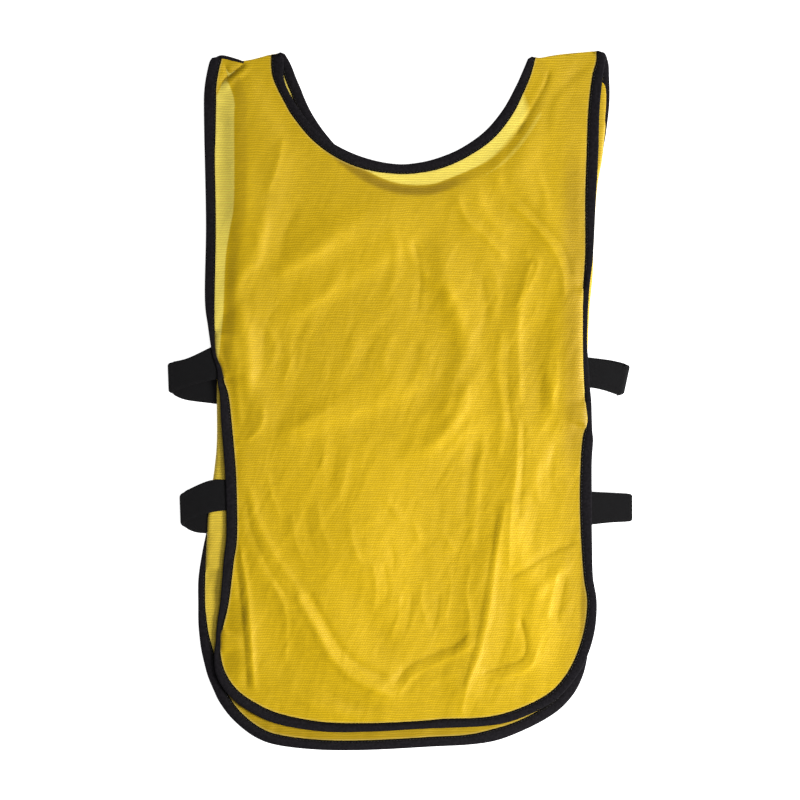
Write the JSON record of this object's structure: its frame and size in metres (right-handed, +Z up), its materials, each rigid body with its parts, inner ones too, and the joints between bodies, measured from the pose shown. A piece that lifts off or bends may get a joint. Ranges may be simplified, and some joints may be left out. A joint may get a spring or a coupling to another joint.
{
  "type": "mesh training bib laid flat",
  "caption": "Mesh training bib laid flat: front panel on back panel, bound edges and neck, elastic side straps folded into flat loops.",
  "frame": {"origin": "on the surface that the bib lies on, under the middle of its bounding box", "axes": "+Y towards the shoulders, +X to the right as seen from above with the front up, +Z up from the surface"},
  "size_m": [0.4319, 0.6515, 0.0088],
  "materials": {
    "mesh_cloth": "satin",
    "binding_tape": "matte",
    "elastic": "matte"
  },
  "bodies": {
    "root": {"front_panel": "mesh_cloth", "back_panel": "mesh_cloth", "neck_binding_front": "binding_tape", "neck_binding_back": "binding_tape", "edge_binding_front": "binding_tape", "edge_binding_back": "binding_tape", "strap_left_upper": "elastic", "strap_left_lower": "elastic", "strap_right_upper": "elastic", "strap_right_lower": "elastic"}
  },
  "joints": []
}
